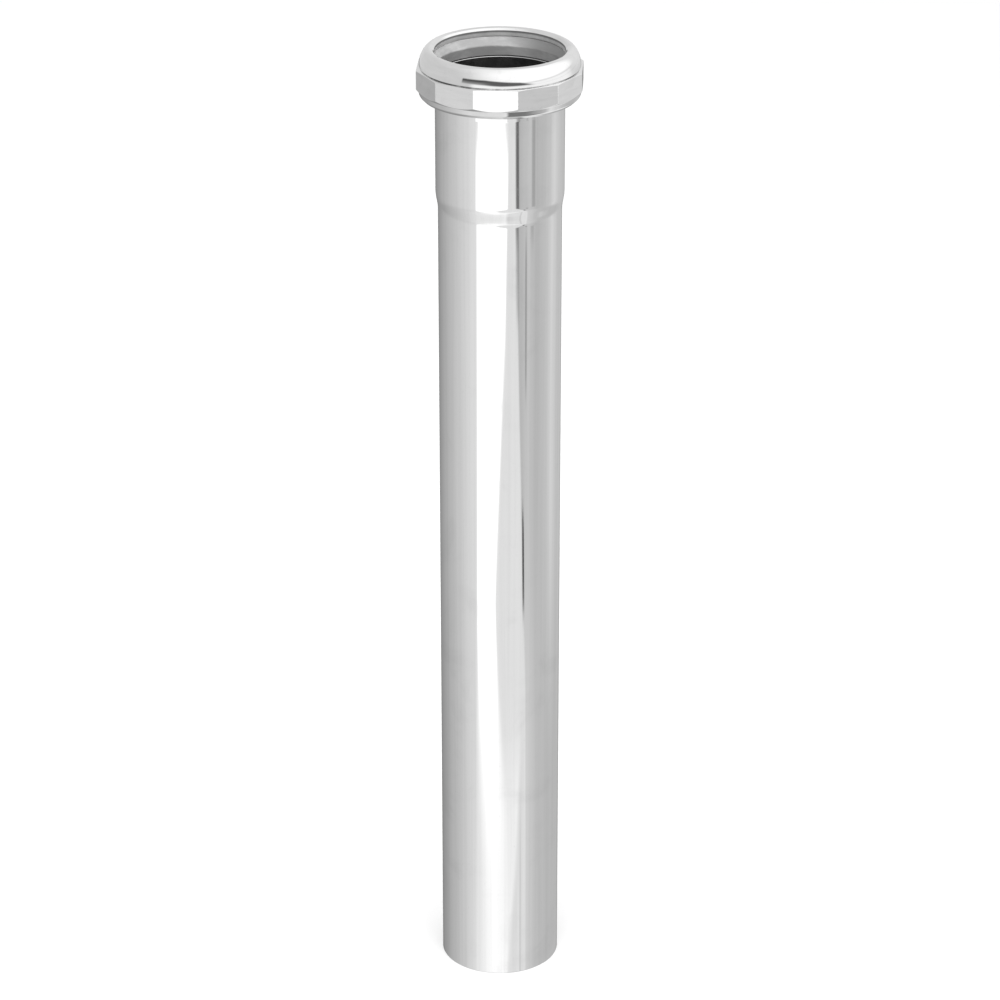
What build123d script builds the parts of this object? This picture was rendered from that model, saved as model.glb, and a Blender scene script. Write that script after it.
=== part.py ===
from build123d import *
import os
from math import cos, radians, tan

os.makedirs("parts", exist_ok=True)

# Tail pipe for a basin waste: a thin chromed tube that widens at the top into a socket,
# a seal ring that sits in the threaded mouth of the socket, and a twelve-sided slip nut.
# The pipe stands on its square-cut end. The origin is the centre of that end, +Z points
# up the pipe to the socket, and -Y is the front. All sizes are in millimetres.

# Tube
tube_diameter = 32.0
wall = 0.5
tail_length = 220.2

# Socket, swaged out of the same tube to take another tube of the same diameter
socket_clearance = 0.1
step_height = 3.2
step_radius = 12.0
socket_depth = 31.3
entry_chamfer = 0.5

# Threaded mouth of the socket, which holds the seal ring
mouth_step = 2.0
mouth_depth = 4.1
mouth_chamfer = 0.7

# Seal ring
seal_bore_clearance = 0.45
seal_side_clearance = 0.15
seal_gap = 0.1
seal_height = 5.0
seal_chamfer = 0.8
lead_in_depth = 2.6
lead_in_width = 0.35

# Slip nut
flats = 12
flats_angle = 11.9
flats_edge_radius = 0.35
thread_depth = 0.6
thread_clearance = 0.1
nut_wall = 1.7
nut_height = 12.75
lip_gap = 0.1
lip_height = 1.7
lip_clearance = 0.65
rim_width = 0.95
rim_rise = 0.5
crest_drop = 0.5
dome_wall = 1.33
dome_taper = 0.95
dome_height = 4.55
dome_radius = 2.3
top_chamfer_angle = 30.0
collar_inset = 0.1
collar_taper = 0.3
collar_chamfer = 0.8
collar_height = 2.1
bottom_chamfer_angle = 45.0
bore_chamfer = 0.4

# Radii and heights that follow from the sizes above
tube_radius = tube_diameter / 2
socket_radius = tube_radius + socket_clearance + wall
mouth_radius = socket_radius + mouth_step
seat_level = tail_length + step_height + socket_depth
mouth_top = seat_level + mouth_depth
shoulder_level = seat_level - wall
seal_bottom = seat_level + seal_gap
seal_top = seal_bottom + seal_height
lip_level = seal_top + lip_gap
lip_top = lip_level + lip_height
nut_top = lip_top + rim_rise
nut_bottom = nut_top - nut_height

# Tail tube: the outside of the wall is drawn from the cut end to the mouth, given its
# thickness towards the water side, and turned about the axis.
with BuildPart() as tail_tube:
    with BuildSketch(Plane.XZ):
        with BuildLine():
            FilletPolyline(
                (tube_radius, 0),
                (tube_radius, tail_length),
                (socket_radius, tail_length + step_height),
                (socket_radius, shoulder_level - entry_chamfer),
                radius=step_radius,
            )
            Polyline(
                (socket_radius, shoulder_level - entry_chamfer),
                (socket_radius + entry_chamfer, shoulder_level),
                (mouth_radius - mouth_chamfer, shoulder_level),
                (mouth_radius, shoulder_level + mouth_chamfer),
                (mouth_radius, mouth_top),
            )
            offset(amount=wall, kind=Kind.INTERSECTION, side=Side.LEFT, closed=True)
        make_face()
    revolve(axis=Axis.Z)

# Seal ring: a rubber ring with a tapered lead-in at the top of its bore, and a chamfer
# below that clears the corner of the mouth.
seal_bore_radius = tube_radius + seal_bore_clearance
seal_radius = mouth_radius - wall - seal_side_clearance

with BuildPart() as seal_ring:
    with BuildSketch(Plane.XZ):
        with BuildLine():
            Polyline(
                (seal_bore_radius, seal_bottom),
                (seal_radius - seal_chamfer, seal_bottom),
                (seal_radius, seal_bottom + seal_chamfer),
                (seal_radius, seal_top),
                (seal_bore_radius + lead_in_width, seal_top),
                (seal_bore_radius, seal_top - lead_in_depth),
                close=True,
            )
        make_face()
    revolve(axis=Axis.Z)

# Slip nut: a turned blank with a domed lip, a chamfer below the dome and a tapered
# collar, which is then cut to twelve flats. The bore is the root of the thread.
thread_radius = mouth_radius + thread_depth + thread_clearance
flats_radius = thread_radius + nut_wall
lip_radius = tube_radius + lip_clearance
rim_radius = lip_radius + rim_width
foot_radius = thread_radius + dome_wall
foot_level = nut_top - dome_height
collar_radius = flats_radius - collar_inset
collar_level = nut_bottom + collar_height
collar_foot_radius = collar_radius - collar_taper - collar_chamfer
blank_radius = flats_radius / cos(radians(180 / flats))
blank_top = foot_level - (blank_radius - foot_radius) * tan(radians(top_chamfer_angle))
blank_bottom = collar_level + (blank_radius - collar_radius) * tan(radians(bottom_chamfer_angle))

with BuildPart() as slip_nut:
    with BuildSketch(Plane.XZ):
        with BuildLine():
            FilletPolyline(
                (rim_radius, nut_top),
                (foot_radius - dome_taper, nut_top - crest_drop),
                (foot_radius, foot_level),
                radius=dome_radius,
            )
            Polyline(
                (foot_radius, foot_level),
                (blank_radius, blank_top),
                (blank_radius, blank_bottom),
                (collar_radius, collar_level),
                (collar_foot_radius + collar_chamfer, nut_bottom + collar_chamfer),
                (collar_foot_radius, nut_bottom),
                (thread_radius + bore_chamfer, nut_bottom),
                (thread_radius, nut_bottom + bore_chamfer),
                (thread_radius, lip_level),
                (lip_radius, lip_level),
                (lip_radius, lip_top),
                (rim_radius, nut_top),
            )
        make_face()
    revolve(axis=Axis.Z)
    with BuildSketch(Plane.XY.offset(nut_bottom)) as outline:
        RegularPolygon(flats_radius, flats, major_radius=False, rotation=flats_angle)
        fillet(outline.vertices(), flats_edge_radius)
    extrude(amount=nut_height, mode=Mode.INTERSECT)

tail_tube.part.label = "tail_tube"
seal_ring.part.label = "seal_ring"
slip_nut.part.label = "slip_nut"

export_step(tail_tube.part, "parts/tail_tube.step")
export_step(seal_ring.part, "parts/seal_ring.step")
export_step(slip_nut.part, "parts/slip_nut.step")
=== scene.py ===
from math import atan2, cos, pi, radians, sin, tan

import bpy
from bpy.props import FloatProperty, FloatVectorProperty, IntProperty, PointerProperty
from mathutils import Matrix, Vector


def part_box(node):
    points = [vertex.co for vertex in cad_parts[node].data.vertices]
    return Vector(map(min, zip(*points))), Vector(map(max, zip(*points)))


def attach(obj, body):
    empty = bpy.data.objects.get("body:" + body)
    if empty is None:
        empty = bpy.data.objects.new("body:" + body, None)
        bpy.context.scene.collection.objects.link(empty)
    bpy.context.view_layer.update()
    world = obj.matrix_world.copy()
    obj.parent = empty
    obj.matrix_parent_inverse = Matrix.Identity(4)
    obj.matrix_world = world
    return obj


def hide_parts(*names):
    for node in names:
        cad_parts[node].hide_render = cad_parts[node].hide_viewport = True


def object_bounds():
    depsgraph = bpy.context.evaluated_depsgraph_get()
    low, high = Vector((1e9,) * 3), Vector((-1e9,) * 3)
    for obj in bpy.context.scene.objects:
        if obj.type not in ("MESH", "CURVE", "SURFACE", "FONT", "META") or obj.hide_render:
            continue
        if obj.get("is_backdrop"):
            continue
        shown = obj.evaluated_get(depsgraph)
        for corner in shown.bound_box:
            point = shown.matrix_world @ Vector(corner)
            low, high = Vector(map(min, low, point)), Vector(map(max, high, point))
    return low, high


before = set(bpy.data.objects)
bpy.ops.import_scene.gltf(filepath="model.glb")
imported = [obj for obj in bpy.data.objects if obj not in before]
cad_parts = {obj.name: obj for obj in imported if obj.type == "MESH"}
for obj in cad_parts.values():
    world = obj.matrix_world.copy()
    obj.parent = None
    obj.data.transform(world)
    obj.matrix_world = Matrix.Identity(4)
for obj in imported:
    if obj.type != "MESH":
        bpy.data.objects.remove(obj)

bl_info = {
    "name": "Basin Waste Tail Pipe",
    "version": (1, 0, 0),
    "blender": (4, 5, 0),
    "location": "View3D > Sidebar > Tail Pipe",
    "description": "Chromed tail pipe with a swaged socket, a seal ring and a twelve-sided slip nut",
    "category": "Add Mesh",
}

# Everything is in metres. The pipe stands on its cut end at the origin, +Z runs up to the
# nut, and -Y faces the camera.

CAD_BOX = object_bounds()
TUBE_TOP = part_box("tail_tube")[1]
SEAL_FOOT, SEAL_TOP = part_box("seal_ring")
NUT_FOOT, NUT_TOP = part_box("slip_nut")

# Turns of the thread on the mouth and in the nut, and steps of the dome's curve
MOUTH_TURNS = 1.1
NUT_TURNS = 3.0
DOME_STEPS = 24


# Sizes and colours

def length(name, description, default):
    """A length in metres that a user can change."""
    return FloatProperty(name=name, description=description, default=default,
                         min=0.0, precision=5, unit="LENGTH")


def angle(name, description, default):
    """An angle that is given here in degrees and kept in radians."""
    return FloatProperty(name=name, description=description, default=radians(default), unit="ROTATION")


def colour(name, description, default):
    """A linear colour."""
    return FloatVectorProperty(name=name, description=description, default=default,
                               size=3, min=0.0, max=1.0, subtype="COLOR")


def share(name, description, default):
    """A number from 0 to 1."""
    return FloatProperty(name=name, description=description, default=default,
                         min=0.0, max=1.0, subtype="FACTOR")


class TubeSizes(bpy.types.PropertyGroup):
    diameter: length("Tube diameter", "Outside diameter of the plain tube", 0.032)
    wall: length("Wall", "Thickness of the tube's wall", 0.0005)
    tail_length: length("Tail length", "From the cut end to the foot of the step", 0.2202)
    step_height: length("Step height", "Height over which the tube widens into the socket", 0.0032)
    step_radius: length("Step radius", "Radius of the two gentle bends of the step", 0.012)
    socket_radius: length("Socket radius", "Outside radius of the socket", 0.0166)
    shoulder: length("Shoulder level", "Underside of the shoulder below the threaded mouth", 0.2542)
    swell: length("Swell", "How much the socket opens out just below the nut", 0.00012)
    swell_height: length("Swell height", "Height of the swelling below the shoulder", 0.0068)
    entry_round: length("Entry round", "Rounding between the socket and its shoulder", 0.0005)
    mouth_round: length("Mouth round", "Rounding between the shoulder and the mouth", 0.0008)
    seat_round: length("Seat round", "Rounding at the foot of the mouth's inside", 0.0003)
    seat_edge: length("Seat edge", "Rounding of the edge where the socket's bore begins", 0.00018)
    edge_round: length("Edge round", "Rounding of the cut edges", 0.00012)
    around: IntProperty(name="Steps around", description="Steps of the turned surfaces",
                        default=288, min=24)


class SealSizes(bpy.types.PropertyGroup):
    bore_radius: length("Bore radius", "Radius of the seal's bore", 0.01645)
    lead_in_width: length("Lead-in width", "How far the bore opens out at the top", 0.00035)
    lead_in_depth: length("Lead-in depth", "Height of the tapered top of the bore", 0.0026)
    chamfer: length("Chamfer", "Chamfer at the foot of the ring", 0.0008)
    edge_round: length("Edge round", "Rounding of the rubber's edges", 0.0002)
    bore_round: length("Bore round", "Rounding between the lead-in and the straight bore", 0.0012)


class NutSizes(bpy.types.PropertyGroup):
    flats: IntProperty(name="Flats", description="Number of flats", default=12, min=6)
    flats_angle: angle("Flats angle", "Turn of the first corner from +X", 11.9)
    flats_radius: length("Flats radius", "From the axis to a flat", 0.021)
    flats_edge: length("Flats edge", "Rounding of the flats' edges", 0.00022)
    spare: length("Spare", "How far the turned blank stands out past the flats' corners", 0.0006)
    thread_radius: length("Thread radius", "Root radius of the thread in the nut", 0.0193)
    lip_level: length("Lip level", "Underside of the lip", 0.2599)
    lip_radius: length("Lip radius", "Radius of the opening in the lip", 0.01665)
    throat_round: length("Throat round", "Rounding between the thread's bore and the lip", 0.0002)
    lip_round: length("Lip round", "Rounding of the lip's lower edge", 0.00012)
    lip_top_round: length("Lip top round", "Rounding at the top of the lip's straight bore", 0.0003)
    lip_top: length("Lip top", "Level at which the straight bore of the lip ends", 0.26135)
    brow_radius: length("Brow radius", "Radius at which the slope above the lip turns flatter", 0.0173)
    brow_level: length("Brow level", "Level at which the slope above the lip turns flatter", 0.2619)
    brow_round: length("Brow round", "Rounding where the slope above the lip turns flatter", 0.0008)
    crest_radius: length("Crest radius", "Radius of the highest circle of the dome", 0.01783)
    crest_round: length("Crest round", "Rounding at the highest circle of the dome", 0.0006)
    dome_lean: angle("Dome lean", "How far the foot of the dome leans inwards", 4.0)
    foot_radius: length("Dome foot radius", "Outside radius at the foot of the dome", 0.02063)
    foot_level: length("Dome foot level", "Level of the crease at the foot of the dome", 0.25755)
    crease: length("Crease", "Depth of the fine crease at the foot of the dome", 0.00016)
    ledge_radius: length("Ledge radius", "Radius at which the ledge above the flats begins", 0.02072)
    ledge_level: length("Ledge level", "Level of the ledge where it begins", 0.25727)
    ledge_round: length("Ledge round", "Rounding between the crease and the ledge", 0.00006)
    ledge_slope: angle("Ledge slope", "Slope of the ledge above the flats", 7.0)
    foot_slope: angle("Foot slope", "Slope of the chamfer below the flats", 45.0)
    collar_radius: length("Collar radius", "Radius at the top of the rounded collar", 0.0209)
    collar_height: length("Collar height", "Height of the collar", 0.0021)
    collar_round: length("Collar round", "Rounding at the top of the collar", 0.0002)
    bulge_inset: length("Bulge inset", "How much narrower the collar's bulge is than its top", 0.0003)
    bulge_height: length("Bulge height", "Height of the bulge above the nut's foot", 0.0008)
    bulge_round: length("Bulge round", "Rounding of the bulge", 0.0009)
    collar_foot: length("Collar foot", "Radius at the foot of the collar", 0.0198)
    collar_foot_round: length("Collar foot round", "Rounding at the foot of the collar", 0.00025)
    bore_chamfer: length("Bore chamfer", "Chamfer at the mouth of the thread", 0.0004)
    bore_round: length("Bore round", "Rounding of that chamfer's edges", 0.00008)


class ThreadSizes(bpy.types.PropertyGroup):
    pitch: length("Pitch", "Rise of the thread in one turn", 0.002309)
    depth: length("Depth", "Height of the thread's ridge", 0.00055)
    base: length("Base", "Width of the ridge at its root", 0.00105)
    crest: length("Crest", "Width of the ridge at its crest", 0.0003)
    sunk: length("Sunk", "How deep the ridge's root lies in the wall that carries it", 0.0001)
    mouth_start: length("Mouth start", "From the shoulder to the middle of the mouth's ridge", 0.0014)


class StageSizes(bpy.types.PropertyGroup):
    camera_distance: length("Camera distance", "From the pipe's axis to the camera", 0.8977)
    camera_height: length("Camera height", "Above the floor", 0.5366)
    camera_tilt: angle("Camera tilt", "Downward tilt of the camera", 24.01)
    focal_length: FloatProperty(name="Focal length", description="For a 36 mm sensor", default=132.73)
    floor_width: length("Floor width", "Side of the square floor", 6.0)


class Finishes(bpy.types.PropertyGroup):
    chrome: colour("Chrome", "Colour of the polished chrome plate", (0.9, 0.9, 0.9))
    bore: colour("Bore", "Colour of the unpolished inside", (0.42, 0.42, 0.42))
    rubber: colour("Rubber", "Colour of the seal ring", (0.58, 0.58, 0.58))
    polish: share("Polish", "Roughness of the clean chrome", 0.035)
    floor: colour("Floor", "Colour of the floor", (0.86, 0.86, 0.86))


class PipeSettings(bpy.types.PropertyGroup):
    tube: PointerProperty(type=TubeSizes, name="Tube", description="Sizes of the tube")
    seal: PointerProperty(type=SealSizes, name="Seal", description="Sizes of the seal ring")
    nut: PointerProperty(type=NutSizes, name="Nut", description="Sizes of the slip nut")
    thread: PointerProperty(type=ThreadSizes, name="Thread", description="Sizes of the thread")
    stage: PointerProperty(type=StageSizes, name="Stage", description="Camera and floor")
    finish: PointerProperty(type=Finishes, name="Finishes", description="Colours and polish")


# Shader writing

class Wire:
    """An output socket that takes part in ordinary arithmetic. Each operator adds a Math node."""

    def __init__(self, socket):
        self.socket = socket

    def maths(self, operation, *values):
        """The result of one Math node."""
        node = self.socket.id_data.nodes.new("ShaderNodeMath")
        node.operation = operation
        for target, value in zip(node.inputs, values):
            connect(target, value)
        return Wire(node.outputs[0])

    def __add__(self, other):
        return self.maths("ADD", self, other)

    def __sub__(self, other):
        return self.maths("SUBTRACT", self, other)

    def __rsub__(self, other):
        return self.maths("SUBTRACT", other, self)

    def __mul__(self, other):
        return self.maths("MULTIPLY", self, other)

    def __truediv__(self, other):
        return self.maths("DIVIDE", self, other)

    def __neg__(self):
        return self.maths("MULTIPLY", self, -1.0)

    def __abs__(self):
        return self.maths("ABSOLUTE", self)

    def toward(self, other, factor):
        """This value at factor 0, the other at factor 1."""
        return self * (1.0 - factor) + factor * other

    def least(self, other):
        """The smaller of two values."""
        return self.maths("MINIMUM", self, other)

    def most(self, other):
        """The larger of two values."""
        return self.maths("MAXIMUM", self, other)


def connect(target, value):
    """Links a wire to a socket, or sets the socket's own value."""
    if isinstance(value, Wire):
        target.id_data.links.new(value.socket, target)
    else:
        target.default_value = value


class Shading:
    """Writes the nodes of one material or world."""

    def __init__(self, owner):
        owner.use_nodes = True
        self.tree = owner.node_tree
        self.tree.nodes.clear()

    def node(self, kind, settings, values):
        """A new node: its settings are set first, and then the values or links of its sockets."""
        node = self.tree.nodes.new(kind)
        for name, value in settings.items():
            setattr(node, name, value)
        for name, value in values.items():
            connect(node.inputs[name], value)
        return node

    def out(self, kind, output, settings, values):
        """One output of a new node."""
        return Wire(self.node(kind, settings, values).outputs[output])

    def noise(self, place, scale, detail, roughness=0.5, distortion=0.0):
        """Soft noise around 0.5."""
        values = {"Vector": place, "Scale": scale, "Detail": detail,
                  "Roughness": roughness, "Distortion": distortion}
        return self.out("ShaderNodeTexNoise", "Fac", {"noise_dimensions": "3D"}, values)

    def ramp(self, value, low, high, start=0.0, end=1.0):
        """A smooth step from start to end while value goes from low to high."""
        values = {"Value": value, "From Min": low, "From Max": high, "To Min": start, "To Max": end}
        return self.out("ShaderNodeMapRange", "Result", {"interpolation_type": "SMOOTHSTEP"}, values)

    def between(self, value, low, high, soft):
        """1 between two limits, which may be wires themselves, and 0 outside, with soft edges."""
        rise = self.ramp((value - low) / soft, -1.0, 1.0)
        fall = self.ramp((value - high) / soft, 1.0, -1.0)
        return rise * fall

    def near(self, value, place, reach):
        """1 close to a place on a scale, falling softly to 0 at the reach from it."""
        full = reach * 0.3
        return self.ramp(abs(value - place), reach, full)

    def graph(self, value, points):
        """A line graph through a few points (value, result)."""
        low, high = points[0][0], points[-1][0]
        least = min(result for place, result in points)
        most = max(result for place, result in points)
        node = self.node("ShaderNodeValToRGB", {}, {"Fac": (value - low) / (high - low)})
        stops = node.color_ramp.elements
        while len(stops) < len(points):
            stops.new(0.5)
        for stop, (place, result) in zip(stops, points):
            stop.position = (place - low) / (high - low)
            stop.color = grey((result - least) / (most - least))
        return Wire(node.outputs["Color"]) * (most - least) + least

    def streaks(self, place, scales, detail, roughness):
        """Noise around 0.5 that has another scale along each axis."""
        stretched = self.out("ShaderNodeMapping", "Vector", {}, {"Vector": place, "Scale": scales})
        return self.noise(stretched, 1.0, detail, roughness)

    def tint(self, factor, first, second):
        """A colour between two, by factor."""
        node = self.node("ShaderNodeMix", {"data_type": "RGBA"}, {})
        connect(node.inputs[0], factor)
        connect(node.inputs[6], first)
        connect(node.inputs[7], second)
        return Wire(node.outputs[2])

    def bump(self, height, distance, normal=None):
        """A bumped normal, on top of another one if that is given. The distance is in metres."""
        values = {"Height": height, "Distance": distance, "Strength": 1.0}
        if normal is not None:
            values["Normal"] = normal
        return self.out("ShaderNodeBump", "Normal", {}, values)

    def place(self):
        """Object coordinates, which are metres in the pipe's own frame."""
        return self.out("ShaderNodeTexCoord", "Object", {}, {})

    def axes(self, vector):
        """The three numbers of a vector."""
        node = self.node("ShaderNodeSeparateXYZ", {}, {"Vector": vector})
        return [Wire(socket) for socket in node.outputs]

    def finish(self, shader, output="ShaderNodeOutputMaterial"):
        """Ends the tree with its output node."""
        node = self.tree.nodes.new(output)
        connect(node.inputs["Surface"], shader)

    def surface(self, values):
        """Ends a material's tree with one Principled BSDF."""
        self.finish(self.out("ShaderNodeBsdfPrincipled", "BSDF", {}, values))


def rgba(value):
    """A colour with an alpha of 1."""
    return (value[0], value[1], value[2], 1.0)


def grey(value):
    """A neutral colour."""
    return (value, value, value, 1.0)


def new_material(name):
    """An empty material and the writer of its nodes."""
    material = bpy.data.materials.new(name)
    return material, Shading(material)


def toned(colour_value, factor):
    """A colour times a factor: darker below 1 and paler above it."""
    return tuple(part * factor for part in colour_value[:3]) + (1.0,)


def painted_crease_shade(shade, place, cloud, low, high):
    """How dark the painted shade in a line around the piece is: broken by smudges, and fainter on part
    of the front.
    """
    across, depth, height = shade.axes(place)
    line = shade.between(height, low, high, soft=0.00004) * shade.ramp(cloud, 0.34, 0.56, start=0.35)
    fainter_front = shade.ramp(across, -0.004, 0.003) * shade.ramp(across, 0.018, 0.013)
    fainter_front = fainter_front * shade.ramp(depth, 0.0, -0.004)
    return line * (1.0 - fainter_front * 0.7)


def chrome_plate(name, finish, streak_scale, cloud_scale, ripple, crease=None):
    """Polished chrome plate: polishing streaks, cloudy smudges, pin specks and a slight ripple.

    The crease is the lower and upper level of a line of painted shade around the piece.
    """
    streak_height = 0.0000004
    material, shade = new_material(name)
    place = shade.place()
    streaks = shade.streaks(place, streak_scale, detail=6.0, roughness=0.62)
    cloud = shade.noise(place, cloud_scale, detail=5.0, roughness=0.6, distortion=0.4)
    pins = shade.noise(place, scale=1900.0, detail=2.0)
    wave = shade.streaks(place, (38.0, 38.0, 11.0), detail=2.0, roughness=0.4)
    smudge = shade.ramp(cloud, 0.5, 0.72)
    specks = shade.ramp(pins, 0.68, 0.78)
    base = rgba(finish.chrome)
    worn = smudge * 0.3 + specks * 0.4 + shade.ramp(streaks, 0.35, 0.75) * 0.35
    tone = shade.tint(worn.least(1.0), base, toned(base, 0.82))
    # Painted shade: the plate's colour is darkened along the crease line
    if crease is not None:
        tone = shade.tint(painted_crease_shade(shade, place, cloud, *crease), tone, grey(0.16))
    values = {
        "Base Color": tone,
        "Metallic": 1.0,
        "Roughness": smudge * 0.03 + specks * 0.08 + streaks * 0.02 + finish.polish,
        "Normal": shade.bump(streaks, streak_height, shade.bump(wave, ripple)),
    }
    shade.surface(values)
    return material


def bore_finish(finish):
    """The dull inside of the tube, with drawing marks that run along it."""
    mark_height = 0.000004
    material, shade = new_material("drawn_bore")
    place = shade.place()
    marks = shade.streaks(place, (900.0, 900.0, 12.0), detail=4.0, roughness=0.6)
    cloud = shade.noise(place, scale=120.0, detail=4.0, roughness=0.6)
    base = rgba(finish.bore)
    values = {
        "Base Color": shade.tint(shade.ramp(cloud, 0.35, 0.7), base, toned(base, 0.55)),
        "Metallic": 1.0,
        "Roughness": marks * 0.2 + 0.22,
        "Normal": shade.bump(marks, mark_height),
    }
    shade.surface(values)
    return material


def turned_inside(name, light, dark, edge=None):
    """Thinly plated metal inside the nut and on the threads: satin, with fine turning rings.

    Where the metal rises to the level of an edge, it is darkened with painted shade.
    """
    ring_height = 0.000008
    edge_shade_low, edge_shade_high, unevenness = 0.0007, 0.0001, 0.0003
    material, shade = new_material(name)
    place = shade.place()
    rings = shade.streaks(place, (50.0, 50.0, 5200.0), detail=4.0, roughness=0.65)
    cloud = shade.noise(place, scale=190.0, detail=5.0, roughness=0.6)
    mottle = (shade.ramp(cloud, 0.34, 0.68) * 0.6 + shade.ramp(rings, 0.35, 0.65) * 0.4).least(1.0)
    tone = shade.tint(mottle, grey(light), grey(dark))
    # Painted shade: darker as the metal rises towards the edge's level
    if edge is not None:
        height = shade.axes(place)[2] + (cloud - 0.5) * unevenness
        tone = shade.tint(shade.ramp(height, edge - edge_shade_low, edge - edge_shade_high), tone, grey(0.17))
    values = {
        "Base Color": tone,
        "Metallic": 0.45,
        "Roughness": rings * 0.2 + 0.3,
        "Normal": shade.bump(rings, ring_height),
    }
    shade.surface(values)
    return material


def cut_metal():
    """A sawn and deburred edge: bright metal with fine turning lines."""
    line_height = 0.000006
    material, shade = new_material("cut_metal")
    place = shade.place()
    lines = shade.streaks(place, (60.0, 60.0, 9000.0), detail=3.0, roughness=0.6)
    pits = shade.ramp(shade.noise(place, scale=2600.0, detail=2.0), 0.6, 0.75)
    values = {
        "Base Color": shade.tint(pits, grey(0.72), grey(0.45)),
        "Metallic": 1.0,
        "Roughness": pits * 0.15 + 0.2,
        "Normal": shade.bump(lines, line_height),
    }
    shade.surface(values)
    return material


def worn_edge(finish):
    """Chrome that handling has rubbed to a bright satin along an edge."""
    wear_height = 0.000004
    material, shade = new_material("rubbed_edge")
    wear = shade.noise(shade.place(), scale=900.0, detail=4.0, roughness=0.6)
    values = {
        "Base Color": shade.tint(shade.ramp(wear, 0.35, 0.65), grey(1.0), rgba(finish.chrome)),
        "Metallic": 1.0,
        "Roughness": wear * 0.25 + 0.32,
        "Normal": shade.bump(wear, wear_height),
    }
    shade.surface(values)
    return material


def seal_rubber(finish, lead_in_foot):
    """Grey moulded rubber: fine grain and a pale bloom, with painted shade that darkens the ring below
    the lead-in and on one side.
    """
    grain_height, unevenness = 0.000006, 0.0008
    material, shade = new_material("moulded_rubber")
    place = shade.place()
    grain = shade.noise(place, scale=5200.0, detail=3.0, roughness=0.6)
    patches = shade.streaks(place, (170.0, 170.0, 420.0), detail=5.0, roughness=0.6)
    bloom = shade.ramp(patches, 0.4, 0.68)
    across, depth, level = shade.axes(place)
    height = level + (patches - 0.5) * unevenness
    # Painted light and shade: paler at the lead-in, darker below its foot where the bore is straight
    lead_in = shade.ramp(height, lead_in_foot - 0.0002, lead_in_foot + 0.0004)
    # Painted shade: one side of the ring darker
    side_shade = shade.ramp(across + depth * 0.3, 0.004, 0.017, end=0.95)
    base = rgba(finish.rubber)
    shade_tone = toned(base, 0.46)
    lead_in_tone = shade.tint(side_shade, shade.tint(bloom, base, toned(base, 1.28)), shade_tone)
    shaded_bore = shade.tint(bloom, shade_tone, toned(base, 0.58))
    values = {
        "Base Color": shade.tint(lead_in, shaded_bore, lead_in_tone),
        "Roughness": bloom * 0.18 + 0.36,
        "Normal": shade.bump(grain, grain_height),
    }
    shade.surface(values)
    return material


# The studio that the chrome mirrors, by direction from the pipe in degrees: azimuth 0 is towards
# the camera and 90 is to its right. The camera sees elevation -31.5 in the cut end, -20 in the
# step and -18 in the shoulder below the nut, and the nut mirrors what is higher or much lower.

# Brightness of the walls by azimuth, as the upper tube, the foot and the nut mirror them
LOW_WALLS = ((-180.0, 0.2), (-133.0, 0.42), (-92.0, 0.6), (-50.0, 0.8), (36.0, 0.52), (55.0, 0.62),
             (70.0, 0.52), (98.0, 0.6), (114.0, 0.72), (132.0, 0.6), (158.0, 0.55), (180.0, 0.2))
FOOT_WALLS = ((-180.0, 0.2), (-133.0, 0.37), (-92.0, 0.56), (-50.0, 0.76), (40.0, 0.74), (59.0, 0.67),
              (75.0, 0.57), (110.0, 0.53), (155.0, 0.5), (180.0, 0.2))
HIGH_WALLS = ((-180.0, 0.76), (-150.0, 0.67), (-50.0, 0.65), (50.0, 0.68), (150.0, 0.7), (180.0, 0.76))

# Azimuth of both sides of the key light and of the screen's right side, by elevation
KEY_LEFT = ((-32.0, -26.0), (-29.5, -30.0), (-27.5, -42.0), (-26.0, -45.0), (-18.7, -44.0),
            (-18.2, -39.0))
KEY_RIGHT = ((-32.0, 8.0), (-29.0, 6.0), (-27.0, -4.0), (-25.6, -9.0), (-24.0, -2.0), (-21.5, 10.0),
             (-18.7, 15.0), (-18.2, 9.0))
SCREEN_LEFT = -48.0
SCREEN_RIGHT = ((-40.0, 57.0), (-27.0, 51.0), (-25.7, 46.0), (-24.4, 44.6), (-24.0, 41.0),
                (-22.5, 36.5), (-20.9, 33.0), (-20.0, 32.5), (-19.5, 31.2), (-18.0, 30.4))

# Azimuth of the glint by elevation, and what it adds by the azimuth from there
GLINT = ((-31.5, 10.0), (-30.3, 22.0), (-29.8, 28.0), (-28.7, 33.5), (-27.6, 40.0), (-26.5, 41.0))
GLINT_LIFT = ((-90.0, 0.0), (-55.0, 0.06), (-30.0, 0.1), (-8.0, 0.13), (0.0, 0.18), (3.0, 0.06),
              (7.0, -0.03), (13.0, 0.0), (90.0, 0.0))

# Elevation of the slot's middle and half its height, by azimuth
SLOT_LEVEL = ((-54.0, 8.0), (-21.0, 9.5), (0.0, 6.5), (28.0, 3.5), (52.0, -3.0))
SLOT_HEIGHT = ((-54.0, 8.0), (-21.0, 9.5), (0.0, 9.0), (28.0, 6.0), (52.0, -1.0))

# Soft steps in elevation, from 0 to 1
BELOW_NUT = (-15.8, -16.8)
ABOVE_TUBE = (-15.8, -12.0)
FOOT = (-23.5, -28.5)
SOCKET = (-20.2, -19.6)
ABOVE_CUT = (-35.0, -31.5)

# Panels low at the right, which the collar mirrors: azimuths, elevations and brightness, where
# each range is low, high and the softness of its ends
LOW_PANELS = (
    ((13.0, 78.0, 3.0), (-67.0, -42.0, 3.0), 0.2),
    ((82.0, 150.0, 6.0), (-72.0, -36.0, 5.0), 0.9),
)


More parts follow.
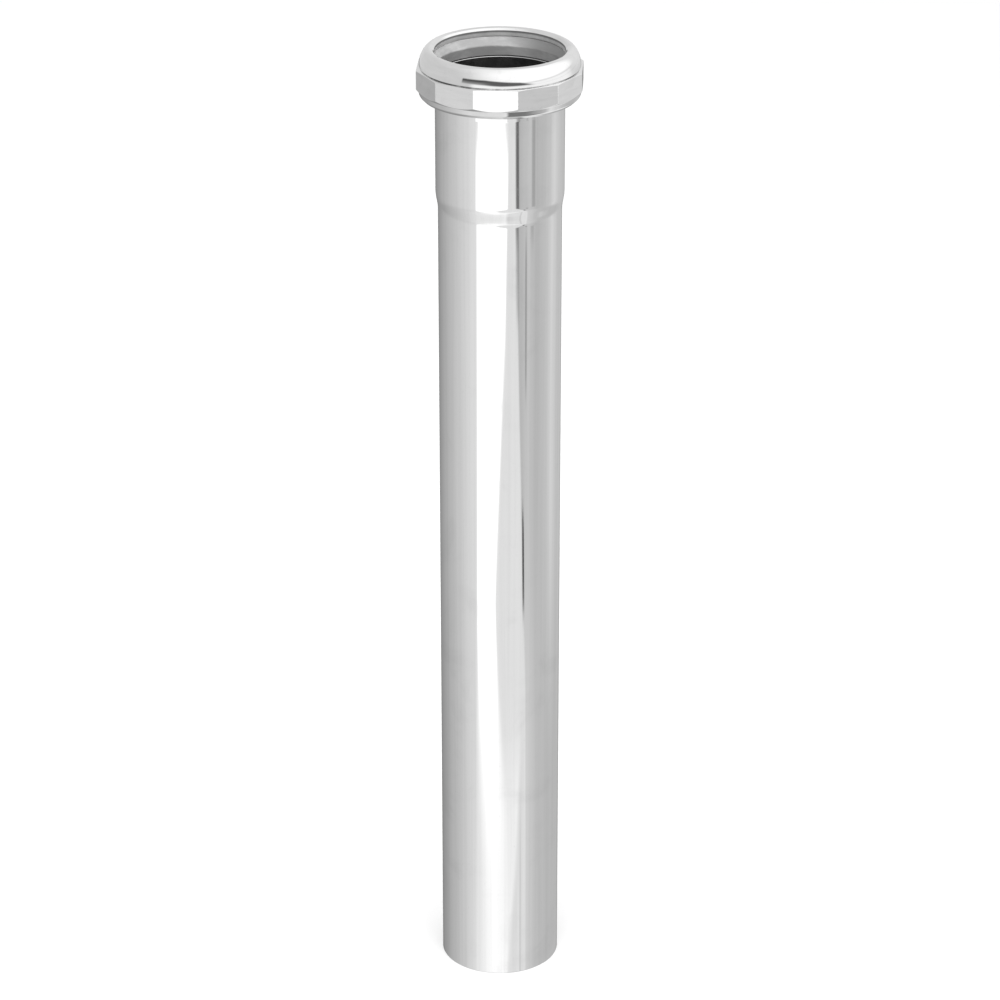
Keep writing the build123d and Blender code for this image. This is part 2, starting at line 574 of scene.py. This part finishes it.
class Studio:
    """The soft boxes, walls and dark panels of the studio, as masks by direction."""

    def __init__(self, shade):
        self.shade = shade
        self.x, self.y, self.z = shade.axes(shade.out("ShaderNodeTexCoord", "Generated", {}, {}))
        self.azimuth = self.x.maths("ARCTAN2", self.x, -self.y) * (180 / pi)
        self.elevation = self.z.maths("ARCSINE", self.z) * (180 / pi)
        self.low = shade.ramp(self.elevation, *BELOW_NUT)
        self.screen_right = shade.graph(self.elevation, SCREEN_RIGHT)

    def light(self):
        """How bright the studio is in each direction."""
        light = self.walls()
        for brightness, mask in (self.screen(), self.key()):
            light = light.toward(brightness, mask)
        light = light * (1.0 - self.seams()) + self.glint()
        for brightness, mask in self.panels():
            light = light.toward(brightness, mask)
        return light.most(0.0)

    def walls(self):
        """Grey walls all round."""
        shade = self.shade
        walls = shade.graph(self.azimuth, LOW_WALLS)
        walls = walls.toward(shade.graph(self.azimuth, FOOT_WALLS), shade.ramp(self.elevation, *FOOT))
        high_walls = shade.graph(self.azimuth, HIGH_WALLS)
        return walls.toward(high_walls, shade.ramp(self.elevation, *ABOVE_TUBE))

    def screen(self):
        """The pale screen in front of the pipe."""
        brightness = self.shade.ramp(self.elevation, -36.0, -50.0, start=0.83, end=0.66)
        mask = self.shade.between(self.azimuth, SCREEN_LEFT, self.screen_right, soft=1.5)
        return brightness, mask * self.low

    def key(self):
        """The key light, a tall soft box that is sharp at the socket and blurred at the foot."""
        shade, elevation = self.shade, self.elevation
        brightness = shade.ramp(elevation, -27.0, -30.5, start=1.25, end=1.06)
        blur = shade.ramp(elevation, -26.0, -30.0, start=1.2, end=19.0)
        left, right = shade.graph(elevation, KEY_LEFT), shade.graph(elevation, KEY_RIGHT)
        mask = shade.between(self.azimuth, left, right, blur) * shade.ramp(elevation, *ABOVE_CUT)
        return brightness, mask * self.low

    def seams(self):
        """Dark lines: the seam at the right side of the screen, and fainter ones near it."""
        shade, azimuth, elevation = self.shade, self.azimuth, self.elevation
        socket = shade.ramp(elevation, *SOCKET) * self.low
        seam = socket * 0.76 + shade.between(elevation, -21.2, -19.9, 0.15) * 0.3
        seam = seam * shade.near(azimuth, self.screen_right, 4.4)
        for place, reach, along, depth in (
            (self.screen_right, 3.0, shade.between(elevation, -25.7, -24.2, 0.12), 0.9),
            (49.6, 2.6, shade.between(elevation, -22.3, -20.0, 0.3), 0.4),
            (62.0, 5.0, socket, 0.3),
            (41.0, 2.6, shade.ramp(elevation, -28.4, -30.0), 0.17),
        ):
            seam = seam.most(shade.near(azimuth, place, reach) * along * depth)
        return seam.least(1.0)

    def glint(self):
        """What the curved glint adds near the foot."""
        across = self.azimuth - self.shade.graph(self.elevation, GLINT)
        return self.shade.graph(across, GLINT_LIFT) * self.shade.ramp(self.elevation, -27.0, -29.0)

    def panels(self):
        """What the nut mirrors, as brightness and mask, each over the ones before it."""
        shade, x, y, z = self.shade, self.x, self.y, self.z
        azimuth, elevation = self.azimuth, self.elevation
        # White from the front to the right, just below the horizon
        strip = shade.ramp(azimuth, -46.0, -34.0) * shade.ramp(azimuth, 134.0, 102.0)
        strip = strip * shade.between(elevation, -16.4, 4.0, 0.8)
        # A ceiling, brightest at the right, the front and the top
        sky_side = x * 0.771 - y * 0.446 + z * 0.455
        sky = shade.ramp(sky_side, -0.4, 0.95) * shade.ramp(elevation, 2.0, 12.0)
        # High up at the back
        crown = shade.ramp(y, 0.15, 0.5) * shade.ramp(y, 0.84, 0.78) * shade.ramp(abs(x), 0.5, 0.38)
        crown = crown * shade.ramp(z, 0.3, 0.45)
        # At the back on the right, from the horizon up
        roll = shade.ramp(x, 0.12, 0.28) * shade.ramp(y, 0.45, 0.75)
        roll = roll * shade.ramp(elevation, -12.0, -4.0)
        # High up at the back on the left
        corner = shade.ramp(x, -0.22, -0.4) * shade.ramp(y, -0.02, 0.12) * shade.ramp(z, 0.5, 0.65)
        panels = [(1.0, strip), (1.2, sky), (0.7, crown), (0.8, roll), (0.7, corner), self.slot()]
        for around, upright, brightness in LOW_PANELS:
            mask = shade.between(azimuth, *around) * shade.between(elevation, *upright)
            panels.append((brightness, mask))
        return panels

    def slot(self):
        """The dark slot that the dome mirrors as a curved streak."""
        shade, azimuth = self.shade, self.azimuth
        above = self.elevation - shade.graph(azimuth, SLOT_LEVEL)
        brightness = shade.ramp(above, 6.0, -9.0, start=0.07, end=0.34)
        brightness = brightness.toward(0.12, shade.ramp(azimuth, -32.0, -8.0))
        mask = shade.ramp(abs(above) - shade.graph(azimuth, SLOT_HEIGHT), 2.5, -3.5)
        return brightness, mask * shade.ramp(azimuth, -55.5, -53.5)


# Modelling helpers

def rounded(corners, steps):
    """Points (r, z) of an outline, given as (r, z) or as (r, z, round) for a rounded corner."""
    points = []
    for index, corner in enumerate(corners):
        here = Vector(corner[:2])
        if len(corner) < 3 or index in (0, len(corners) - 1):
            points.append(here)
            continue
        back = (Vector(corners[index - 1][:2]) - here).normalized()
        ahead = (Vector(corners[index + 1][:2]) - here).normalized()
        half = back.angle(ahead) / 2
        centre = here + (back + ahead).normalized() * corner[2] / sin(half)
        first = here + back * corner[2] / tan(half) - centre
        last = here + ahead * corner[2] / tan(half) - centre
        bend = pi - 2 * half
        for step in range(steps + 1):
            done = step / steps
            arm = first * sin((1 - done) * bend) + last * sin(done * bend)
            points.append(centre + arm / sin(bend))
    return points


def choose(obj):
    """Selects one object alone and makes it the active one."""
    bpy.ops.object.select_all(action="DESELECT")
    obj.select_set(True)
    bpy.context.view_layer.objects.active = obj


def edit(obj):
    """Enters edit mode on one object."""
    choose(obj)
    bpy.ops.object.mode_set(mode="EDIT")


def leave_edit():
    """Goes back to object mode."""
    bpy.ops.object.mode_set(mode="OBJECT")


def pick(obj, mode, test):
    """Enters edit mode with only those vertices, edges or faces selected that pass the test."""
    edit(obj)
    bpy.ops.mesh.select_mode(type=mode)
    bpy.ops.mesh.select_all(action="DESELECT")
    leave_edit()
    parts = {"VERT": obj.data.vertices, "EDGE": obj.data.edges, "FACE": obj.data.polygons}[mode]
    for part in parts:
        part.select = test(part)
    bpy.ops.object.mode_set(mode="EDIT")


def draw_outline(name, points):
    """A closed outline in the X-Z plane, drawn vertex by vertex.

    It starts as a plane that is merged to one vertex, whatever select mode was used before.
    """
    bpy.ops.object.select_all(action="DESELECT")
    bpy.ops.mesh.primitive_plane_add(size=0.001, location=(0, 0, 0))
    obj = bpy.context.object
    obj.name = name
    obj.data.name = name
    bpy.ops.object.mode_set(mode="EDIT")
    bpy.ops.mesh.select_mode(type="VERT")
    bpy.ops.mesh.select_all(action="SELECT")
    bpy.ops.mesh.merge(type="CENTER")
    bpy.ops.transform.translate(value=(points[0][0], 0, points[0][1]))
    for before, after in zip(points, points[1:]):
        step = (after[0] - before[0], 0, after[1] - before[1])
        bpy.ops.mesh.extrude_vertices_move(TRANSFORM_OT_translate={"value": step})
    leave_edit()
    ends = (0, len(obj.data.vertices) - 1)
    pick(obj, "VERT", lambda vertex: vertex.index in ends)
    bpy.ops.mesh.edge_face_add()
    leave_edit()
    return obj


def turn(name, points, steps):
    """A turned piece: the outline is spun once about the Z axis."""
    obj = draw_outline(name, points)
    edit(obj)
    bpy.ops.mesh.select_all(action="SELECT")
    bpy.ops.mesh.spin(steps=steps, angle=2 * pi, center=(0, 0, 0), axis=(0, 0, 1))
    bpy.ops.mesh.select_all(action="SELECT")
    bpy.ops.mesh.remove_doubles(threshold=0.0000005)
    bpy.ops.mesh.normals_make_consistent(inside=False)
    leave_edit()
    return obj


def apply_modifier(obj, kind, **settings):
    """Adds a modifier, sets it and applies it."""
    modifier = obj.modifiers.new(kind.lower(), kind)
    for name, value in settings.items():
        setattr(modifier, name, value)
    choose(obj)
    bpy.ops.object.modifier_apply(modifier=modifier.name)


def smooth(obj, limit):
    """Smooth shading up to an angle in degrees, with wide faces kept true."""
    choose(obj)
    bpy.ops.object.shade_smooth_by_angle(angle=radians(limit))
    apply_modifier(obj, "WEIGHTED_NORMAL", mode="FACE_AREA", weight=100, keep_sharp=True)


def dress(obj, materials):
    """Gives a piece its materials, in slot order."""
    obj.data.materials.clear()
    for material in materials:
        obj.data.materials.append(material)


def check_faces(obj, least):
    """Raises an error when a piece came out with too few faces."""
    if len(obj.data.polygons) < least:
        raise RuntimeError(f"{obj.name} has only {len(obj.data.polygons)} faces")


def ridge(name, root, crest_side, start, turns, sizes, steps):
    """One thread ridge with blunt ends. It stands out from the root, or inwards if crest_side is -1."""
    buried = root - crest_side * sizes.sunk
    top = root + crest_side * sizes.depth
    low, high = start - sizes.base / 2, start + sizes.base / 2
    outline = [
        Vector((buried, low)),
        Vector((root, low)),
        Vector((top, start - sizes.crest / 2)),
        Vector((top, start + sizes.crest / 2)),
        Vector((root, high)),
        Vector((buried, high)),
    ]
    obj = draw_outline(name, outline)
    apply_modifier(obj, "SCREW", axis="Z", angle=2 * pi * turns, screw_offset=sizes.pitch * turns,
                   steps=steps, render_steps=steps)
    edit(obj)
    bpy.ops.mesh.select_all(action="DESELECT")
    bpy.ops.mesh.select_non_manifold()
    bpy.ops.mesh.fill_holes(sides=0)
    bpy.ops.mesh.select_all(action="SELECT")
    bpy.ops.mesh.normals_make_consistent(inside=False)
    leave_edit()
    return obj


# Material slots of a metal piece
PLATE, INSIDE, EDGE = range(3)


def paint(obj, slot_of):
    """Gives each face the material slot that a test of the face names."""
    for face in obj.data.polygons:
        face.material_index = slot_of(face)


def outwards(face):
    """How far a face looks away from the axis, from -1 to 1."""
    return face.normal.xy.dot(face.center.xy.normalized())


# Pieces

class TAILPIPE_OT_tube(bpy.types.Operator):
    """Model the chromed tube with its swaged socket and its mouth"""
    bl_idname = "tail_pipe.tube"
    bl_label = "Chromed tube"

    def execute(self, context):
        settings = context.scene.tail_pipe
        size = settings.tube
        radius = size.diameter / 2
        mouth, top = TUBE_TOP.x, TUBE_TOP.z
        step_top = size.tail_length + size.step_height
        seat = size.shoulder + size.wall
        outline = rounded([
            (radius, size.tail_length * 0.5),
            (radius, size.tail_length, size.step_radius),
            (size.socket_radius, step_top, size.step_radius),
            (size.socket_radius, size.shoulder - size.swell_height, size.step_radius),
            (size.socket_radius + size.swell, size.shoulder, size.entry_round),
            (mouth, size.shoulder, size.mouth_round),
            (mouth, top, size.edge_round),
            (mouth - size.wall, top, size.edge_round),
            (mouth - size.wall, seat, size.seat_round),
            (size.socket_radius - size.wall, seat, size.seat_edge),
            (size.socket_radius - size.wall, step_top, size.step_radius),
            (radius - size.wall, size.tail_length, size.step_radius),
            (radius - size.wall, 0.0, size.edge_round),
            (radius, 0.0, size.edge_round),
            (radius, size.tail_length * 0.25),
        ], steps=8)
        obj = turn("chromed_tube", outline, size.around)

        def slot_of(face):
            """Bare metal at the cut ends and the rim of the seat, dull inside, plated outside."""
            level, tilt = face.center.z, face.normal.z
            at_an_end = level < size.edge_round or level > top - size.edge_round
            at_the_seat = abs(level - seat) < size.seat_edge * 2
            if at_an_end and abs(tilt) > 0.3 or at_the_seat and tilt > 0.15:
                return EDGE
            return INSIDE if outwards(face) < -0.2 or tilt > 0.5 else PLATE

        dress(obj, [
            chrome_plate("polished_tube", settings.finish, streak_scale=(700.0, 700.0, 7.0),
                         cloud_scale=62.0, ripple=0.00002),
            bore_finish(settings.finish),
            cut_metal(),
        ])
        paint(obj, slot_of)
        smooth(obj, limit=40)
        check_faces(obj, least=10000)
        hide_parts("tail_tube")
        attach(obj, "tube")
        return {"FINISHED"}


class TAILPIPE_OT_seal(bpy.types.Operator):
    """Model the rubber seal ring that sits in the mouth"""
    bl_idname = "tail_pipe.seal"
    bl_label = "Seal ring"

    def execute(self, context):
        settings = context.scene.tail_pipe
        size = settings.seal
        outer = SEAL_TOP.x
        low, high = SEAL_FOOT.z, SEAL_TOP.z
        step = high - size.lead_in_depth
        edge = size.edge_round
        outline = rounded([
            (outer, (low + high) / 2),
            (outer, high, edge),
            (size.bore_radius + size.lead_in_width, high, edge),
            (size.bore_radius, step, size.bore_round),
            (size.bore_radius, low, edge),
            (outer - size.chamfer, low, edge),
            (outer, low + size.chamfer, edge),
        ], steps=4)
        obj = turn("seal_ring_rubber", outline, settings.tube.around)
        dress(obj, [seal_rubber(settings.finish, step)])
        smooth(obj, limit=40)
        check_faces(obj, least=3000)
        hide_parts("seal_ring")
        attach(obj, "seal")
        return {"FINISHED"}


class TAILPIPE_OT_nut(bpy.types.Operator):
    """Model the slip nut: a turned blank that is cut to its flats"""
    bl_idname = "tail_pipe.nut"
    bl_label = "Slip nut"

    def execute(self, context):
        settings = context.scene.tail_pipe
        size = settings.nut
        obj = turn("slip_nut_chrome", rounded(self.blank(size), steps=8), settings.tube.around)
        self.cut_flats(obj, size)
        self.round_flats(obj, size)
        step = 2 * pi / size.flats

        def slot_of(face):
            """Turned metal in the bore, rubbed corners between the flats, plated elsewhere."""
            reach = face.center.xy.length
            if outwards(face) < -0.7 or reach < size.thread_radius and face.center.z < size.lip_top:
                return INSIDE
            bearing = atan2(face.normal.y, face.normal.x) - size.flats_angle
            off_flat = abs((bearing / step) % 1.0 - 0.5) * step
            upright = abs(face.normal.z) < 0.3 and reach > size.flats_radius
            return EDGE if upright and off_flat > radians(3) else PLATE

        # Levels of the line of painted shade at the crease at the foot of the dome
        line_margin = 0.00002
        crease = (size.foot_level - size.crease - line_margin, size.foot_level + line_margin)
        dress(obj, [
            chrome_plate("polished_nut", settings.finish, streak_scale=(90.0, 90.0, 700.0),
                         cloud_scale=240.0, ripple=0.00001, crease=crease),
            # Painted shade darkens the bore towards the top of the lip
            turned_inside("turned_bore", light=0.82, dark=0.58, edge=size.lip_top),
            worn_edge(settings.finish),
        ])
        paint(obj, slot_of)
        smooth(obj, limit=22)
        check_faces(obj, least=10000)
        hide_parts("slip_nut")
        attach(obj, "nut")
        return {"FINISHED"}

    def blank(self, size):
        """The outline of the turned blank, from the bore over the dome to the collar."""
        foot, top = NUT_FOOT.z, NUT_TOP.z
        rim = size.flats_radius / cos(pi / size.flats) + size.spare
        ledge_edge = size.ledge_level - (rim - size.ledge_radius) * tan(size.ledge_slope)
        collar_top = foot + size.collar_height
        rim_foot = collar_top + (rim - size.collar_radius) * tan(size.foot_slope)
        return [
            (size.thread_radius, (foot + top) / 2),
            (size.thread_radius, size.lip_level, size.throat_round),
            (size.lip_radius, size.lip_level, size.lip_round),
            (size.lip_radius, size.lip_top, size.lip_top_round),
            (size.brow_radius, size.brow_level, size.brow_round),
            (size.crest_radius, top, size.crest_round),
            *self.dome(size, top),
            (size.foot_radius, size.foot_level),
            (size.foot_radius - size.crease, size.foot_level - size.crease),
            (size.ledge_radius, size.ledge_level, size.ledge_round),
            (rim, ledge_edge),
            (rim, rim_foot),
            (size.collar_radius, collar_top, size.collar_round),
            (size.collar_radius - size.bulge_inset, foot + size.bulge_height, size.bulge_round),
            (size.collar_foot, foot, size.collar_foot_round),
            (size.thread_radius + size.bore_chamfer, foot, size.bore_round),
            (size.thread_radius, foot + size.bore_chamfer, size.bore_round),
            (size.thread_radius, (foot * 2 + top) / 3),
        ]

    def dome(self, size, top):
        """Points of the dome between its crest and its foot: a leaning quarter of an ellipse."""
        points = []
        drop = top - size.foot_level
        lean = tan(size.dome_lean)
        reach = size.foot_radius - size.crest_radius - drop * lean
        for step in range(1, DOME_STEPS):
            turned = step / DOME_STEPS * pi / 2
            height = drop * cos(turned)
            radius = size.crest_radius + reach * sin(turned) + (drop - height) * lean
            points.append((radius, size.foot_level + height))
        return points

    def cut_flats(self, obj, size):
        """Cuts the blank once for each flat and closes the cut."""
        for index in range(size.flats):
            bearing = size.flats_angle + (index + 0.5) * 2 * pi / size.flats
            normal = Vector((cos(bearing), sin(bearing), 0))
            edit(obj)
            bpy.ops.mesh.select_all(action="SELECT")
            bpy.ops.mesh.bisect(plane_co=normal * size.flats_radius, plane_no=normal,
                                use_fill=True, clear_outer=True, threshold=0.0000002)
            leave_edit()

    def round_flats(self, obj, size):
        """Rounds the edges of the flats, which are the only large upright faces outside."""
        smallest_flat, margin = 0.00002, 0.00005
        keys = set()
        for face in obj.data.polygons:
            upright = abs(face.normal.z) < 0.001
            outside = face.center.xy.length > size.flats_radius - margin
            if upright and outside and face.area > smallest_flat:
                keys.update(tuple(sorted(key)) for key in face.edge_keys)
        pick(obj, "EDGE", lambda edge: tuple(sorted(edge.vertices)) in keys)
        bpy.ops.mesh.bevel(offset=size.flats_edge, segments=3, affect="EDGES", clamp_overlap=True)
        leave_edit()


class TAILPIPE_OT_threads(bpy.types.Operator):
    """Model the meshing threads of the mouth and of the nut"""
    bl_idname = "tail_pipe.threads"
    bl_label = "Threads"

    def execute(self, context):
        settings = context.scene.tail_pipe
        size = settings.thread
        start = settings.tube.shoulder + size.mouth_start
        male = ridge("mouth_thread", TUBE_TOP.x, 1, start, MOUTH_TURNS, size, steps=220)
        metal = turned_inside("rolled_thread", light=0.7, dark=0.5)
        dress(male, [metal])
        smooth(male, limit=30)
        check_faces(male, least=1000)
        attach(male, "tube")
        root = settings.nut.thread_radius
        start = start + size.pitch / 2 - 2 * size.pitch
        female = ridge("nut_thread", root, -1, start, NUT_TURNS, size, steps=500)
        dress(female, [metal])
        smooth(female, limit=30)
        check_faces(female, least=1000)
        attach(female, "nut")
        return {"FINISHED"}


class TAILPIPE_OT_stage(bpy.types.Operator):
    """Set up the floor, the studio light and the camera"""
    bl_idname = "tail_pipe.stage"
    bl_label = "Stage"

    def execute(self, context):
        settings = context.scene.tail_pipe
        size = settings.stage
        self.floor(size, settings.finish)
        self.studio(context.scene)
        self.lamps()
        self.camera(context.scene, size)
        context.scene.view_settings.view_transform = "Standard"
        return {"FINISHED"}

    def floor(self, size, finish):
        """A plain pale floor, which the chrome doesn't mirror.

        A faint glow that only the camera sees brings it up to white and leaves the pipe's shadow.
        """
        bpy.ops.object.select_all(action="DESELECT")
        bpy.ops.mesh.primitive_plane_add(size=size.floor_width, location=(0, 0, 0))
        floor = bpy.context.object
        floor.name = "floor"
        floor.visible_glossy = False
        material, shade = new_material("studio_floor")
        paper = shade.out("ShaderNodeBsdfDiffuse", "BSDF", {}, {"Color": rgba(finish.floor)})
        faint = {"Color": grey(1.0), "Strength": 0.05}
        glow = shade.out("ShaderNodeEmission", "Emission", {}, faint)
        seen = shade.out("ShaderNodeLightPath", "Is Camera Ray", {}, {})
        lit = shade.node("ShaderNodeAddShader", {}, {})
        connect(lit.inputs[0], paper)
        connect(lit.inputs[1], glow)
        blend = shade.node("ShaderNodeMixShader", {}, {"Fac": seen})
        connect(blend.inputs[1], paper)
        connect(blend.inputs[2], Wire(lit.outputs[0]))
        shade.finish(Wire(blend.outputs[0]))
        dress(floor, [material])
        floor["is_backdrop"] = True

    def studio(self, scene):
        """The world: the studio for what the chrome mirrors, and plain white for the camera."""
        world = bpy.data.worlds.new("studio")
        scene.world = world
        shade = Shading(world)
        seen = shade.out("ShaderNodeLightPath", "Is Camera Ray", {}, {})
        values = {"Color": grey(1.0), "Strength": Studio(shade).light() * (1.0 - seen) + seen}
        background = shade.out("ShaderNodeBackground", "Background", {}, values)
        shade.finish(background, "ShaderNodeOutputWorld")

    def lamps(self):
        """Two large soft lamps, which the chrome doesn't mirror, aimed at the pipe's middle."""
        middle = Vector((0, 0, 0.15))
        for name, place, width, power in (
            ("overhead", (-0.3, -0.4, 1.3), 1.2, 10.0),
            ("fill", (0.7, -1.0, 0.9), 0.9, 4.0),
        ):
            bpy.ops.object.light_add(type="AREA", location=place)
            lamp = bpy.context.object
            lamp.name = name
            lamp.data.size = width
            lamp.data.energy = power
            lamp.visible_glossy = False
            aim = middle - Vector(place)
            lamp.rotation_euler = aim.to_track_quat("-Z", "Y").to_euler()

    def camera(self, scene, size):
        """The photograph's point of view."""
        place = (0, -size.camera_distance, size.camera_height)
        bpy.ops.object.camera_add(location=place, rotation=(pi / 2 - size.camera_tilt, 0, 0))
        camera = bpy.context.object
        camera.data.sensor_width = 36.0
        camera.data.lens = size.focal_length
        scene.camera = camera


class TAILPIPE_PT_panel(bpy.types.Panel):
    """Buttons for the pieces and the stage, with their sizes"""
    bl_idname = "TAILPIPE_PT_panel"
    bl_label = "Tail Pipe"
    bl_space_type = "VIEW_3D"
    bl_region_type = "UI"
    bl_category = "Tail Pipe"

    def draw(self, context):
        for operator in OPERATORS:
            self.layout.operator(operator.bl_idname)
        settings = context.scene.tail_pipe
        for group in (settings.tube, settings.seal, settings.nut, settings.thread,
                      settings.stage, settings.finish):
            box = self.layout.box()
            for name in group.bl_rna.properties.keys():
                if name not in ("rna_type", "name"):
                    box.prop(group, name)


GROUPS = (TubeSizes, SealSizes, NutSizes, ThreadSizes, StageSizes, Finishes, PipeSettings)
OPERATORS = (TAILPIPE_OT_tube, TAILPIPE_OT_seal, TAILPIPE_OT_nut, TAILPIPE_OT_threads,
             TAILPIPE_OT_stage)
CLASSES = GROUPS + OPERATORS + (TAILPIPE_PT_panel,)


def register():
    """Makes the settings and operators known to Blender."""
    for cls in CLASSES:
        bpy.utils.register_class(cls)
    bpy.types.Scene.tail_pipe = PointerProperty(type=PipeSettings)


def unregister():
    """Takes the settings and operators out again."""
    del bpy.types.Scene.tail_pipe
    for cls in reversed(CLASSES):
        bpy.utils.unregister_class(cls)


def corners(box):
    """A box as plain lists of numbers."""
    return [list(corner) for corner in box]


def main():
    """Makes each piece and the stage."""
    register()
    bpy.ops.tail_pipe.tube()
    bpy.ops.tail_pipe.seal()
    bpy.ops.tail_pipe.nut()
    bpy.ops.tail_pipe.threads()
    bpy.ops.tail_pipe.stage()
    {"cad": corners(CAD_BOX), "visual": corners(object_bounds())}


if __name__ == "__main__":
    main()
